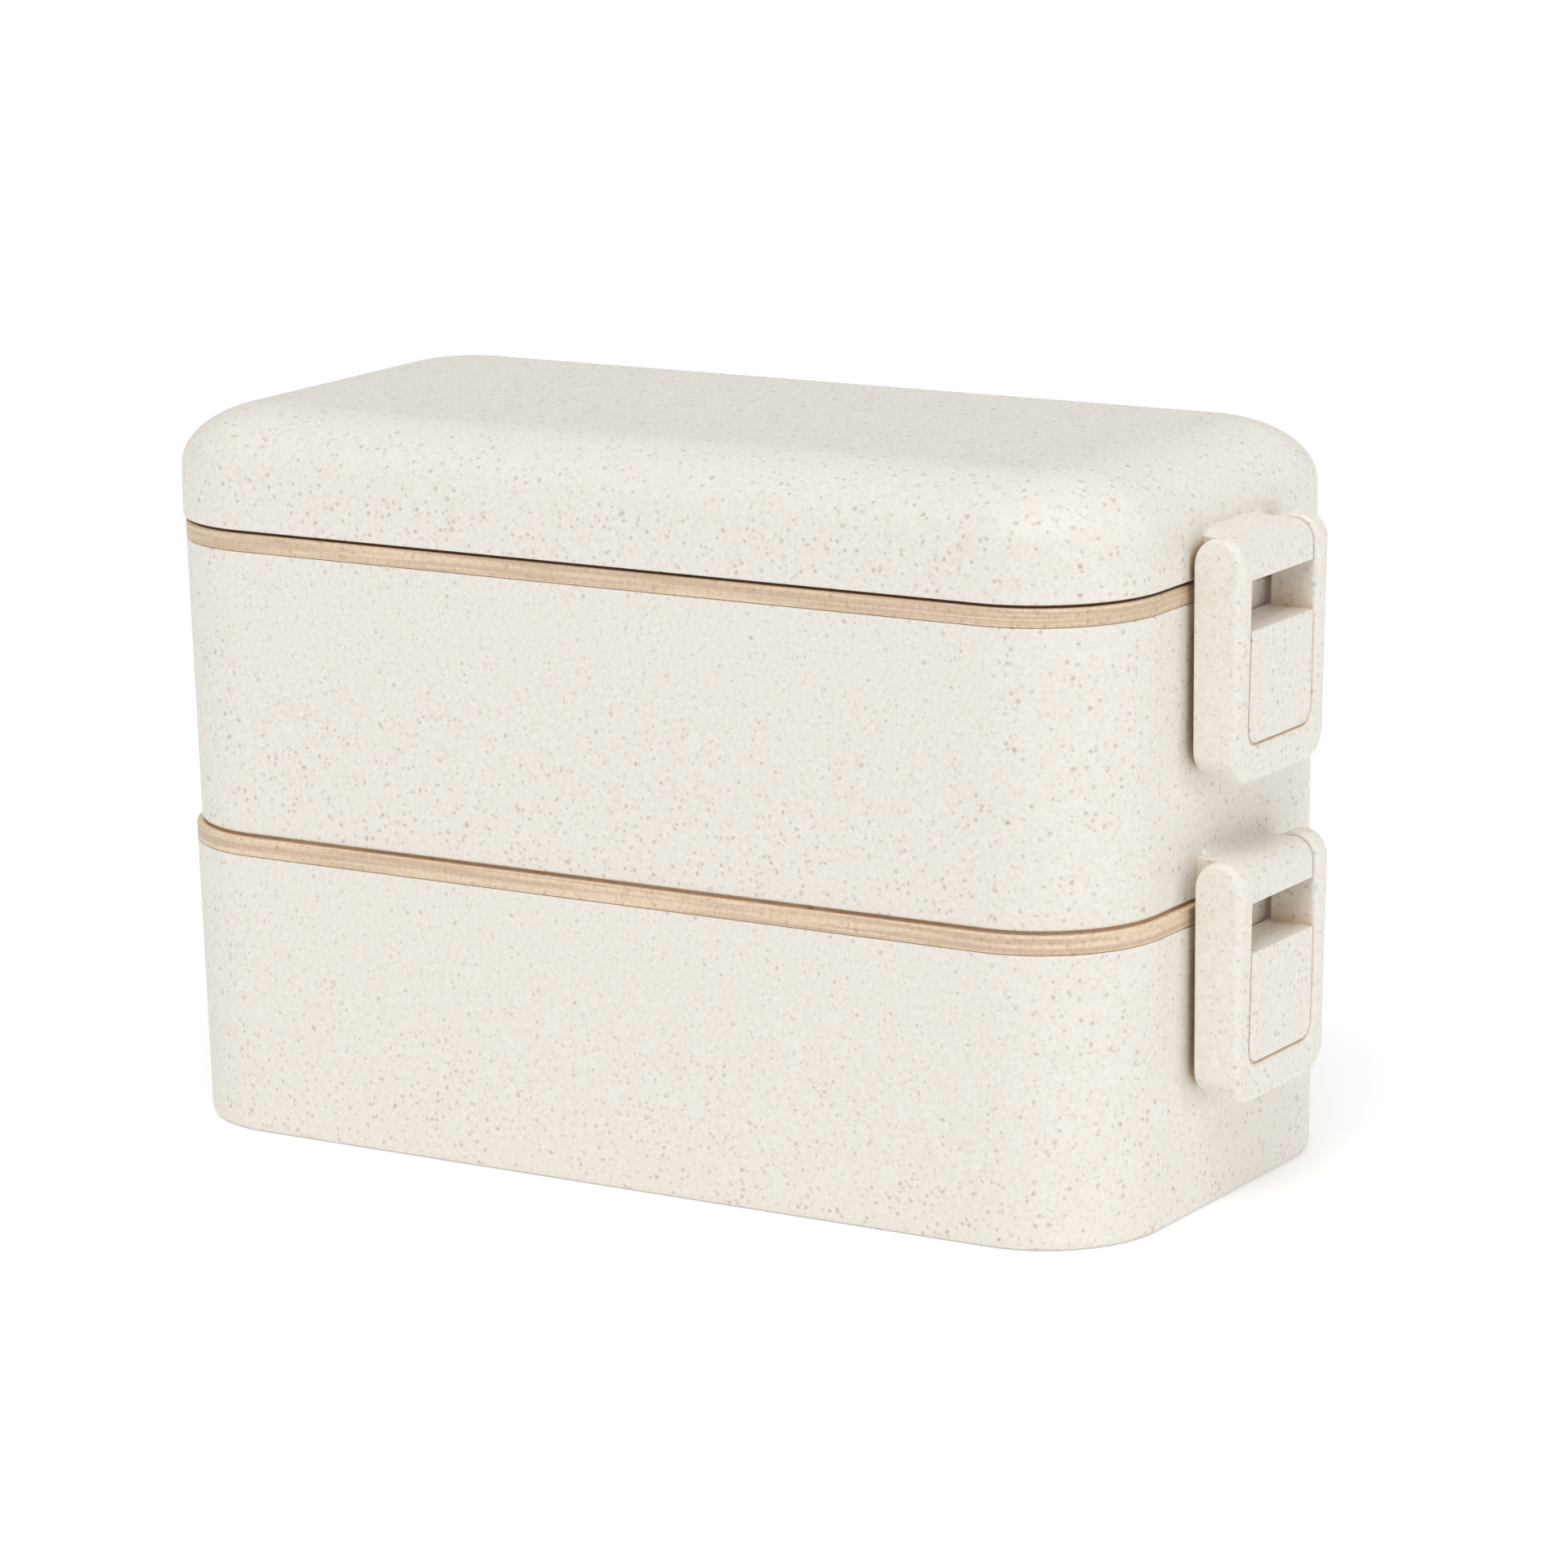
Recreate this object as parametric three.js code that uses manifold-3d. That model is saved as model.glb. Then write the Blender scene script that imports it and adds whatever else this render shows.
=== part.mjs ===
// A two-tier bento lunch box: two drafted tiers, an inner lid with a silicone ring on each, a domed
// outer lid, and four flap clasps hinged on lugs at the two ends.
// Millimetres, +Z up. The origin is the middle of the base, and +X is the right-hand end.
import * as THREE from "three";
import { mergeVertices } from "three/addons/utils/BufferGeometryUtils.js";
import Module from "manifold-3d";

const wasm = await Module();
wasm.setup();

// Plan outline of a tier's rim. Every other outline is this one, inset.
const RIM_HALF_LENGTH = 90;
const RIM_HALF_WIDTH = 44;
const RIM_CORNER = 20.5;
const CORNER_STEPS = 8;

// Heights of the stacked pieces.
const TIER_HEIGHT = 47.5;
const BAND_HEIGHT = 3.5;
const LID_HEIGHT = 18.5;
const LOWER_RIM = TIER_HEIGHT;
const UPPER_BASE = LOWER_RIM + BAND_HEIGHT;
const UPPER_RIM = UPPER_BASE + TIER_HEIGHT;
const LID_BASE = UPPER_RIM + BAND_HEIGHT;

// Tier shells.
const WALL = 2;
const FLOOR = 2;
const DRAFT = 0.9;
const INNER_FILLET = 4;
const BASE_EDGE = 1.5;
const BASE_RECESS = 1;
const FOOT_WIDTH = 7;

// Register: a lip under the upper tier and the lid drops inside the raised band of an inner lid.
const RAISED_WIDTH = 2;
const REGISTER_GAP = 0.4;
const LIP_WIDTH = 1.7;
const LIP_DROP = 1.4;
const UNDERFLOOR_RISE = 2.5;

// Inner lids.
const PLATE = 1.8;
const SHADOW_STEP = 1.5;
const SHADOW_GAP = 0.5;
const SKIRT_INSET = 2.5;
const SKIRT_WIDTH = 1.8;
const SKIRT_DEPTH = 7;
const GROOVE_TOP = -2.4;
const GROOVE_BOTTOM = -5;
const GROOVE_DEPTH = 1;
const SEAL_GAP = 0.2;
const SEAL_PROUD = 0.2;
const SEAL_CHAMFER = 0.7;

// Vent plug of an inner lid.
const VENT_X = 52;
const VENT_HOLE_RADIUS = 3.2;
const PLUG_STEM_RADIUS = 2.8;
const PLUG_HEAD_RADIUS = 6;
const PLUG_BUTTON_RADIUS = 3.2;
const PLUG_HEAD = 1.1;
const PLUG_HEIGHT = 2.2;
const PLUG_STEM = 3.4;
const PLUG_CHAMFER = 0.4;
const PLUG_SEAT_GAP = 0.1;

// Outer lid.
const LID_OVERHANG = 0.4;
const LID_WALL_HEIGHT = 8.3;
const DOME_RUN = 17;
const DOME_STEPS = 7;
const RIM_THICKENING = 6;

// Clasps and their lugs. Distances out from the rim outline, and up from the rim of the tier below.
const PIVOT_OUT = 5.425;
const PIVOT_UP = 6.4;
const CLASP_BACK = 1.25;
const CLASP_FRONT = 9.6;
const CLASP_HALF_WIDTH = 15;
const CLASP_EDGE = 1;
const ARM_RADIUS = PIVOT_OUT - CLASP_BACK;
const WINDOW_HALF_WIDTH = 10.7;
const SHELF_TOP = -4.3;
const SHELF_THICKNESS = 2;
const SHELF_BACK = 0.3;
const PANEL_BOTTOM = -22.6;
const PANEL_CORNER = 3;
const PANEL_SKIN = 2;
const PANEL_RECESS = 0.3;
const SEAM_WIDTH = 0.4;
const SEAM_DEPTH = 0.5;
const CLASP_BOTTOM_FRONT = -28.7;
const CLASP_BOTTOM_BACK = -27;
const CLASP_CORNER = 5;
const LEAN_OF_BACK = 0.01;
const LEAN_OF_FRONT = 0.033;
const POCKET_HALF_WIDTH = 9.2;
const HOOK_HALF_WIDTH = 8;
const HOOK_TOP = -12;
const HOOK_HEIGHT = 2.2;
const HOOK_CLEARANCE = 0.3;
const LUG_GAP = 0.3;
const LUG_RADIUS = 3.5;
const LUG_ROOT = -1.2;
const LUG_TOP = 10.6;
const TRUNNION_RADIUS = 1.2;
const TRUNNION_LENGTH = 2.5;
const SOCKET_GAP = 0.3;
const RIB_OUT = 0.8;
const RIB_TOP = -8.8;
const RIB_BOTTOM = -11.6;
const RIB_SLOPE = 0.7;
const RIB_HALF_WIDTH = 8;

// Divider of the lower tier.
const DIVIDER_X = 18;
const DIVIDER_TOP = 38;
const DIVIDER_WALL = 1.8;
const DIVIDER_EDGE = 1.4;
const DIVIDER_FLANGE = 7;
const DIVIDER_GAP = 0.3;

// Facets of round shapes, and the distance within which points count as one.
const ARC_STEPS = 6;
const PIN_FACETS = 16;
const PLUG_FACETS = 24;
const EDGE_STEPS = 2;
const FILLET_STEPS = 4;
const SAME_POINT = 1e-4;

const warmWhite = { color: 0xe9e3d8, roughness: 0.62, metalness: 0 };
const tan = { color: 0xdcbf98, roughness: 0.6, metalness: 0 };
const silicone = { color: 0xf2efe9, roughness: 0.45, metalness: 0 };

// --- Helpers ---------------------------------------------------------------------------------

// One closed surface through a stack of outlines. Each section is [inset, z], listed so that the
// material lies to the left of the walk from the bottom middle, out and up to the top middle.
function loft(sections, closed = false) {
  const cornerX = RIM_HALF_LENGTH - RIM_CORNER;
  const cornerY = RIM_HALF_WIDTH - RIM_CORNER;
  const count = 4 * (CORNER_STEPS + 1);
  const points = [];
  for (const [inset, z] of sections) {
    const radius = RIM_CORNER - inset;
    for (let corner = 0; corner < 4; corner++) {
      const x = corner === 0 || corner === 3 ? cornerX : -cornerX;
      const y = corner < 2 ? cornerY : -cornerY;
      for (let step = 0; step <= CORNER_STEPS; step++) {
        const angle = ((corner + step / CORNER_STEPS) * Math.PI) / 2;
        points.push(x + radius * Math.cos(angle), y + radius * Math.sin(angle), z);
      }
    }
  }
  const faces = [];
  const last = closed ? sections.length : sections.length - 1;
  for (let row = 0; row < last; row++) {
    const here = row * count;
    const next = ((row + 1) % sections.length) * count;
    for (let i = 0; i < count; i++) {
      const j = (i + 1) % count;
      faces.push(here + i, here + j, next + j, here + i, next + j, next + i);
    }
  }
  if (!closed) {
    const bottom = sections.length * count;
    const top = bottom + 1;
    const first = (sections.length - 1) * count;
    points.push(0, 0, sections[0][1], 0, 0, sections.at(-1)[1]);
    for (let i = 0; i < count; i++) {
      const j = (i + 1) % count;
      faces.push(bottom, j, i, top, first + i, first + j);
    }
  }
  const geometry = new THREE.BufferGeometry();
  geometry.setAttribute("position", new THREE.Float32BufferAttribute(points, 3));
  geometry.setIndex(faces);
  return geometry;
}

// Sections of a quarter ellipse, from its start to its end, both given as [inset, z].
// The walk leaves the start upright when uprightFirst is true, and level otherwise.
function quarter(start, end, steps, uprightFirst) {
  const sections = [];
  for (let step = 0; step <= steps; step++) {
    const angle = ((step / steps) * Math.PI) / 2;
    const across = uprightFirst ? 1 - Math.cos(angle) : Math.sin(angle);
    const along = uprightFirst ? Math.sin(angle) : 1 - Math.cos(angle);
    sections.push([
      start[0] + (end[0] - start[0]) * across,
      start[1] + (end[1] - start[1]) * along,
    ]);
  }
  return sections;
}

function solidOf(geometry) {
  const bare = geometry.clone();
  bare.deleteAttribute("normal");
  bare.deleteAttribute("uv");
  const merged = mergeVertices(bare, SAME_POINT);
  return new wasm.Manifold(
    new wasm.Mesh({
      numProp: 3,
      vertProperties: merged.attributes.position.array,
      triVerts: new Uint32Array(merged.index.array),
    }),
  );
}

function geometryOf(solid) {
  const mesh = solid.getMesh();
  const geometry = new THREE.BufferGeometry();
  geometry.setAttribute("position", new THREE.Float32BufferAttribute(mesh.vertProperties, 3));
  geometry.setIndex(new THREE.BufferAttribute(mesh.triVerts, 1));
  geometry.computeVertexNormals();
  return geometry;
}

function polygon(corners) {
  return new THREE.Shape(corners.map(([x, y]) => new THREE.Vector2(x, y)));
}

// A side outline, drawn as [out, up], made as thick as width across the end of the box.
function sideways(shape, width, edge = 0) {
  const geometry = new THREE.ExtrudeGeometry(shape, {
    depth: width - 2 * edge,
    bevelEnabled: edge > 0,
    bevelThickness: edge,
    bevelSize: edge,
    bevelOffset: -edge,
    bevelSegments: EDGE_STEPS,
    curveSegments: ARC_STEPS,
  });
  geometry.rotateX(Math.PI / 2);
  geometry.translate(0, width / 2 - edge, 0);
  return geometry;
}

// A front outline, drawn as [across, up], standing between two distances out.
function frontal(shape, near, far) {
  const geometry = new THREE.ExtrudeGeometry(shape, {
    depth: far - near,
    bevelEnabled: false,
    curveSegments: ARC_STEPS,
  });
  geometry.rotateX(Math.PI / 2);
  geometry.rotateZ(Math.PI / 2);
  geometry.translate(near, 0, 0);
  return geometry;
}

function block(low, high) {
  const geometry = new THREE.BoxGeometry(high[0] - low[0], high[1] - low[1], high[2] - low[2]);
  geometry.translate((low[0] + high[0]) / 2, (low[1] + high[1]) / 2, (low[2] + high[2]) / 2);
  return geometry;
}

// A round bar along Y, between two distances across.
function crossBar(radius, fromY, toY, x, z) {
  const geometry = new THREE.CylinderGeometry(radius, radius, toY - fromY, PIN_FACETS);
  geometry.translate(x, (fromY + toY) / 2, z);
  return geometry;
}

// A front outline that is square at the top and round at its two bottom corners.
function apron(halfWidth, bottom, top, corner) {
  const shape = new THREE.Shape();
  shape.moveTo(-halfWidth, top);
  shape.lineTo(-halfWidth, bottom + corner);
  shape.absarc(-halfWidth + corner, bottom + corner, corner, Math.PI, 1.5 * Math.PI, false);
  shape.lineTo(halfWidth - corner, bottom);
  shape.absarc(halfWidth - corner, bottom + corner, corner, 1.5 * Math.PI, 2 * Math.PI, false);
  shape.lineTo(halfWidth, top);
  return shape;
}

// The same feature at both ends, joined to a shell whose tier rim is at height rim.
function addAtEnds(shell, feature, rim) {
  for (const turn of [0, Math.PI]) {
    const placed = feature.clone();
    placed.translate(RIM_HALF_LENGTH, 0, rim);
    placed.rotateZ(turn);
    shell = shell.add(solidOf(placed));
  }
  return shell;
}

// --- Clasp hardware --------------------------------------------------------------------------

// The hinge lug: flat below, round on top about the pivot, with a blind socket in each side.
function lugGeometry() {
  const halfWidth = WINDOW_HALF_WIDTH - LUG_GAP;
  const shape = new THREE.Shape();
  shape.moveTo(LUG_ROOT, BAND_HEIGHT);
  shape.lineTo(PIVOT_OUT + LUG_RADIUS, BAND_HEIGHT);
  shape.lineTo(PIVOT_OUT + LUG_RADIUS, PIVOT_UP);
  shape.absarc(PIVOT_OUT, PIVOT_UP, LUG_RADIUS, 0, Math.PI / 2, false);
  shape.lineTo(LUG_ROOT, LUG_TOP);
  let lug = solidOf(sideways(shape, 2 * halfWidth));
  const socketEnd = WINDOW_HALF_WIDTH - TRUNNION_LENGTH - SOCKET_GAP;
  const radius = TRUNNION_RADIUS + SOCKET_GAP;
  const outside = halfWidth + 1;
  lug = lug.subtract(solidOf(crossBar(radius, socketEnd, outside, PIVOT_OUT, PIVOT_UP)));
  lug = lug.subtract(solidOf(crossBar(radius, -outside, -socketEnd, PIVOT_OUT, PIVOT_UP)));
  return geometryOf(lug);
}

// The catch rib that a clasp's hook snaps under.
function catchRib() {
  const shape = polygon([
    [-RIB_OUT, RIB_BOTTOM - RIB_SLOPE],
    [RIB_OUT, RIB_BOTTOM + RIB_SLOPE],
    [RIB_OUT, RIB_TOP - RIB_SLOPE],
    [-RIB_OUT, RIB_TOP],
  ]);
  return sideways(shape, 2 * RIB_HALF_WIDTH);
}

function claspBlank() {
  const shape = new THREE.Shape();
  const corner = CLASP_EDGE;
  shape.moveTo(CLASP_BACK, CLASP_BOTTOM_BACK);
  shape.lineTo(CLASP_FRONT - corner, CLASP_BOTTOM_FRONT);
  shape.lineTo(CLASP_FRONT, CLASP_BOTTOM_FRONT + corner);
  shape.lineTo(CLASP_FRONT, PIVOT_UP);
  shape.absarc(PIVOT_OUT, PIVOT_UP, ARM_RADIUS, 0, Math.PI, false);
  const bar = solidOf(sideways(shape, 2 * CLASP_HALF_WIDTH, CLASP_EDGE));
  const front = apron(CLASP_HALF_WIDTH, CLASP_BOTTOM_FRONT, PIVOT_UP + 2 * ARM_RADIUS, CLASP_CORNER);
  return bar.intersect(solidOf(frontal(front, -CLASP_FRONT, 2 * CLASP_FRONT)));
}

// Moves a point below the pivot towards the wall: the flap follows the draft of the tier behind it
// and thins towards its foot.
function lean(point) {
  const drop = Math.max(0, PIVOT_UP - point[2]);
  const share = (point[0] - CLASP_BACK) / (CLASP_FRONT - CLASP_BACK);
  point[0] -= drop * (LEAN_OF_BACK + (LEAN_OF_FRONT - LEAN_OF_BACK) * share);
}

// The flap: two arms beside a window, a panel below it, a hollow back and a hook.
// Its origin is the pivot.
function claspGeometry() {
  const panelFront = CLASP_FRONT - PANEL_RECESS;
  const panelBack = panelFront - PANEL_SKIN;
  const beyond = 2 * CLASP_FRONT;
  const w = WINDOW_HALF_WIDTH;
  const shelfBottom = SHELF_TOP - SHELF_THICKNESS;
  let flap = claspBlank();
  flap = flap.subtract(solidOf(block([-beyond, -w, SHELF_TOP], [beyond, w, 2 * PIVOT_UP])));
  const face = apron(w, PANEL_BOTTOM, 0, PANEL_CORNER);
  flap = flap.subtract(solidOf(frontal(face, panelFront, beyond)));
  const island = apron(w - SEAM_WIDTH, PANEL_BOTTOM + SEAM_WIDTH, 1, PANEL_CORNER - SEAM_WIDTH);
  const seamRing = solidOf(frontal(face, panelFront - SEAM_DEPTH, beyond)).subtract(
    solidOf(frontal(island, -beyond, 2 * beyond)),
  );
  flap = flap.subtract(seamRing);
  const p = POCKET_HALF_WIDTH;
  flap = flap.subtract(solidOf(block([-beyond, -p, PANEL_BOTTOM], [panelBack, p, shelfBottom])));
  flap = flap.warp(lean);
  flap = flap.add(solidOf(block([SHELF_BACK, -w, shelfBottom], [panelBack, w, SHELF_TOP])));
  const hookTip = RIB_OUT + HOOK_CLEARANCE;
  const hook = polygon([
    [hookTip, HOOK_TOP - HOOK_HEIGHT / 2],
    [panelBack + PANEL_SKIN / 2, HOOK_TOP - HOOK_HEIGHT],
    [panelBack + PANEL_SKIN / 2, HOOK_TOP],
    [hookTip, HOOK_TOP],
  ]);
  flap = flap.add(solidOf(sideways(hook, 2 * HOOK_HALF_WIDTH)));
  const inArm = w + CLASP_EDGE;
  const tip = w - TRUNNION_LENGTH;
  flap = flap.add(solidOf(crossBar(TRUNNION_RADIUS, tip, inArm, PIVOT_OUT, PIVOT_UP)));
  flap = flap.add(solidOf(crossBar(TRUNNION_RADIUS, -inArm, -tip, PIVOT_OUT, PIVOT_UP)));
  const geometry = geometryOf(flap);
  geometry.translate(-PIVOT_OUT, 0, -PIVOT_UP);
  return geometry;
}

// --- Stacked pieces --------------------------------------------------------------------------

// Inset of a tier's outer wall at height z above its base.
function wallInset(z) {
  return DRAFT * (1 - z / TIER_HEIGHT);
}

// The outer wall from the base edge to the rim, then the rim and the inside down to the floor.
function tierWall(floorTop) {
  const filletTop = floorTop + INNER_FILLET;
  const innerLow = wallInset(filletTop) + WALL;
  return [
    ...quarter([wallInset(0) + BASE_EDGE, 0], [wallInset(BASE_EDGE), BASE_EDGE], EDGE_STEPS, false),
    [0, TIER_HEIGHT],
    [WALL, TIER_HEIGHT],
    ...quarter([innerLow, filletTop], [innerLow + INNER_FILLET, floorTop], FILLET_STEPS, true),
  ];
}

function lowerTierGeometry() {
  const sections = [
    [FOOT_WIDTH + BASE_RECESS, BASE_RECESS],
    [FOOT_WIDTH, 0],
    ...tierWall(BASE_RECESS + FLOOR),
  ];
  return geometryOf(addAtEnds(solidOf(loft(sections)), catchRib(), TIER_HEIGHT));
}

function upperTierGeometry() {
  const lipOut = RAISED_WIDTH + REGISTER_GAP;
  const lipIn = lipOut + LIP_WIDTH;
  const sections = [
    [lipIn, UNDERFLOOR_RISE],
    [lipIn, -LIP_DROP],
    [lipOut, -LIP_DROP],
    [lipOut, 0],
    ...tierWall(UNDERFLOOR_RISE + FLOOR),
  ];
  const withRibs = addAtEnds(solidOf(loft(sections)), catchRib(), TIER_HEIGHT);
  return geometryOf(addAtEnds(withRibs, lugGeometry(), -BAND_HEIGHT));
}

function innerLidGeometry() {
  const skirtIn = SKIRT_INSET + SKIRT_WIDTH;
  const grooveIn = SKIRT_INSET + GROOVE_DEPTH;
  const sections = [
    [skirtIn, 0],
    [skirtIn, -SKIRT_DEPTH],
    [SKIRT_INSET, -SKIRT_DEPTH],
    [SKIRT_INSET, GROOVE_BOTTOM],
    [grooveIn, GROOVE_BOTTOM],
    [grooveIn, GROOVE_TOP],
    [SKIRT_INSET, GROOVE_TOP],
    [SKIRT_INSET, 0],
    [0, 0],
    [0, BAND_HEIGHT - SHADOW_GAP],
    [SHADOW_STEP, BAND_HEIGHT - SHADOW_GAP],
    [SHADOW_STEP, BAND_HEIGHT],
    [RAISED_WIDTH, BAND_HEIGHT],
    [RAISED_WIDTH, PLATE],
  ];
  const through = 4 * PLATE;
  const hole = new THREE.CylinderGeometry(VENT_HOLE_RADIUS, VENT_HOLE_RADIUS, through, PLUG_FACETS);
  hole.rotateX(Math.PI / 2);
  hole.translate(VENT_X, 0, PLATE / 2);
  return geometryOf(solidOf(loft(sections)).subtract(solidOf(hole)));
}

function sealGeometry() {
  const back = SKIRT_INSET + GROOVE_DEPTH - SEAL_GAP;
  const front = SKIRT_INSET - SEAL_PROUD;
  const low = GROOVE_BOTTOM + SEAL_GAP;
  const high = GROOVE_TOP - SEAL_GAP;
  const sections = [
    [back, low],
    [SKIRT_INSET, low],
    [front, low + SEAL_CHAMFER],
    [front, high - SEAL_CHAMFER],
    [SKIRT_INSET, high],
    [back, high],
  ];
  return loft(sections, true);
}

function ventPlugGeometry() {
  const profile = [
    [0, -PLUG_STEM],
    [PLUG_STEM_RADIUS - 1, -PLUG_STEM],
    [PLUG_STEM_RADIUS, -PLUG_STEM / 2],
    [PLUG_STEM_RADIUS, 0],
    [PLUG_HEAD_RADIUS, 0],
    [PLUG_HEAD_RADIUS, PLUG_HEAD - PLUG_CHAMFER],
    [PLUG_HEAD_RADIUS - PLUG_CHAMFER, PLUG_HEAD],
    [PLUG_BUTTON_RADIUS, PLUG_HEAD],
    [PLUG_BUTTON_RADIUS - PLUG_CHAMFER, PLUG_HEIGHT],
    [0, PLUG_HEIGHT],
  ];
  const geometry = new THREE.LatheGeometry(
    profile.map(([r, z]) => new THREE.Vector2(r, z)),
    PLUG_FACETS,
  );
  geometry.rotateX(Math.PI / 2);
  return geometryOf(solidOf(geometry));
}

function lidGeometry() {
  const outside = -LID_OVERHANG;
  const inside = WALL - LID_OVERHANG;
  const lipOut = RAISED_WIDTH + REGISTER_GAP;
  const lipIn = lipOut + LIP_WIDTH;
  const innerRise = LID_HEIGHT - WALL;
  const sections = [
    ...quarter([inside + DOME_RUN, innerRise], [inside, LID_WALL_HEIGHT], DOME_STEPS, false),
    [inside, RIM_THICKENING],
    [lipIn, RIM_THICKENING / 2],
    [lipIn, -LIP_DROP],
    [lipOut, -LIP_DROP],
    [lipOut, 0],
    [outside, 0],
    ...quarter([outside, LID_WALL_HEIGHT], [outside + DOME_RUN, LID_HEIGHT], DOME_STEPS, true),
  ];
  return geometryOf(addAtEnds(solidOf(loft(sections)), lugGeometry(), -BAND_HEIGHT));
}

// A cross wall with a wide edging that bears on the floor and the two long walls.
function dividerGeometry() {
  const base = BASE_RECESS + FLOOR + DIVIDER_GAP;
  const halfAt = (z, inset) => RIM_HALF_WIDTH - WALL - wallInset(z) - DIVIDER_GAP - inset;
  const outline = (inset, top) => {
    const low = base + inset;
    const corner = INNER_FILLET + 1 - inset;
    const shape = new THREE.Shape();
    shape.moveTo(-halfAt(top, inset), top);
    shape.lineTo(-halfAt(low, inset), low + corner);
    shape.quadraticCurveTo(-halfAt(low, inset), low, -halfAt(low, inset) + corner, low);
    shape.lineTo(halfAt(low, inset) - corner, low);
    shape.quadraticCurveTo(halfAt(low, inset), low, halfAt(low, inset), low + corner);
    shape.lineTo(halfAt(top, inset), top);
    return shape;
  };
  const edging = solidOf(frontal(outline(0, DIVIDER_TOP), -DIVIDER_FLANGE / 2, DIVIDER_FLANGE / 2));
  const bay = solidOf(frontal(outline(DIVIDER_EDGE, 2 * DIVIDER_TOP), -DIVIDER_FLANGE, DIVIDER_FLANGE));
  const web = solidOf(frontal(outline(0, DIVIDER_TOP), -DIVIDER_WALL / 2, DIVIDER_WALL / 2));
  return geometryOf(edging.subtract(bay).add(web));
}

// --- Assembly --------------------------------------------------------------------------------

function part(name, geometry, finish) {
  const mesh = new THREE.Mesh(geometry, new THREE.MeshStandardMaterial(finish));
  mesh.name = name;
  return mesh;
}

// An inner lid with its seal and vent plug, in the plane of the rim that it closes.
function innerLid(level, rim) {
  const group = new THREE.Group();
  const plug = part(`${level}_vent_plug`, ventPlugGeometry(), silicone);
  plug.position.set(VENT_X, 0, PLATE + PLUG_SEAT_GAP);
  group.add(part(`${level}_inner_lid`, innerLidGeometry(), tan));
  group.add(part(`${level}_inner_lid_seal`, sealGeometry(), silicone));
  group.add(plug);
  group.position.z = rim;
  return group;
}

// The two clasps that close onto the tier whose rim is at height rim.
function claspPair(level, rim) {
  const pair = new THREE.Group();
  for (const [side, turn] of [["right", 0], ["left", Math.PI]]) {
    const end = new THREE.Group();
    const clasp = part(`${level}_${side}_clasp`, claspGeometry(), warmWhite);
    clasp.position.set(RIM_HALF_LENGTH + PIVOT_OUT, 0, rim + PIVOT_UP);
    end.rotation.z = turn;
    end.add(clasp);
    pair.add(end);
  }
  return pair;
}

const box = new THREE.Group();
const lowerTier = part("lower_tier", lowerTierGeometry(), warmWhite);
const upperTier = part("upper_tier", upperTierGeometry(), warmWhite);
const lid = part("lid", lidGeometry(), warmWhite);
const divider = part("lower_tier_divider", dividerGeometry(), tan);
upperTier.position.z = UPPER_BASE;
lid.position.z = LID_BASE;
divider.position.x = DIVIDER_X;
box.add(lowerTier, upperTier, lid, divider);
box.add(innerLid("lower", LOWER_RIM), innerLid("upper", UPPER_RIM));
box.add(claspPair("lower", LOWER_RIM), claspPair("upper", UPPER_RIM));

export default box;
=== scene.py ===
"""Looks of the two-tier bento lunch box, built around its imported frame.

Shapes are worked out in millimetres in the part's frame (origin in the middle of the base, +X to
the right-hand clasps, +Z up) and turned into metres when a mesh is made.
"""

import math

import bmesh
import bpy
from mathutils import Matrix, Vector


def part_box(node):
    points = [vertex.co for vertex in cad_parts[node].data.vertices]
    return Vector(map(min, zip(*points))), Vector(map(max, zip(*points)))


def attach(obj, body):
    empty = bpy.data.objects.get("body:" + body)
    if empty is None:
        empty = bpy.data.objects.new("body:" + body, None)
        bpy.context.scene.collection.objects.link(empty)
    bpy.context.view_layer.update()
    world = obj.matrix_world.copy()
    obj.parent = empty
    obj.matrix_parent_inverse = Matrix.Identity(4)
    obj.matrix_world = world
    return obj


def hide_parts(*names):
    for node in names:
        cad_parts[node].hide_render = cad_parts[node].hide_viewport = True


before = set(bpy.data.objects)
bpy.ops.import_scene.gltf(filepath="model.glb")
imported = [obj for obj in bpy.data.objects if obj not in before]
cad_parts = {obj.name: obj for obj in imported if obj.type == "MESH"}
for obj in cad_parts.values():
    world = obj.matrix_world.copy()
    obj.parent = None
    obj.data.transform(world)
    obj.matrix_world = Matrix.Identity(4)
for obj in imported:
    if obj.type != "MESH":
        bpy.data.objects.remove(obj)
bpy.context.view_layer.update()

MM = 0.001

# --- Small limits ----------------------------------------------------------------------------

STRAIGHT = 1e-3  # a smaller turn, in radians, isn't rounded
NO_LENGTH = 1e-6  # a shorter step, in millimetres, is dropped
LENGTH_SLACK = 1e-9  # rounding in a sum of lengths, in millimetres
SAME_POINT = 1e-7  # points closer than this, in metres, become one
CREASE = 38  # steeper folds than this, in degrees, are shaded sharp
TOOL_REACH = 1.0  # how far a cutting tool or a stub runs past the surface, in millimetres


def box_mm(node):
    """The low and high corners of a CAD node, in millimetres."""
    low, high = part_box(node)
    return low / MM, high / MM


# --- Sizes that the frame gives --------------------------------------------------------------
#
# RIM_X and RIM_Y are half the length and width at a rim; TIER is the height of the lower tier.

lower_tier_high = box_mm("lower_tier")[1]
inner_lid_high = box_mm("lower_inner_lid")[1]
upper_tier_high = box_mm("upper_tier")[1]
lid_high = box_mm("lid")[1]
clasp_low, clasp_high = box_mm("upper_right_clasp")
divider_low, divider_high = box_mm("lower_tier_divider")
plug_low, plug_high = box_mm("upper_vent_plug")

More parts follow.
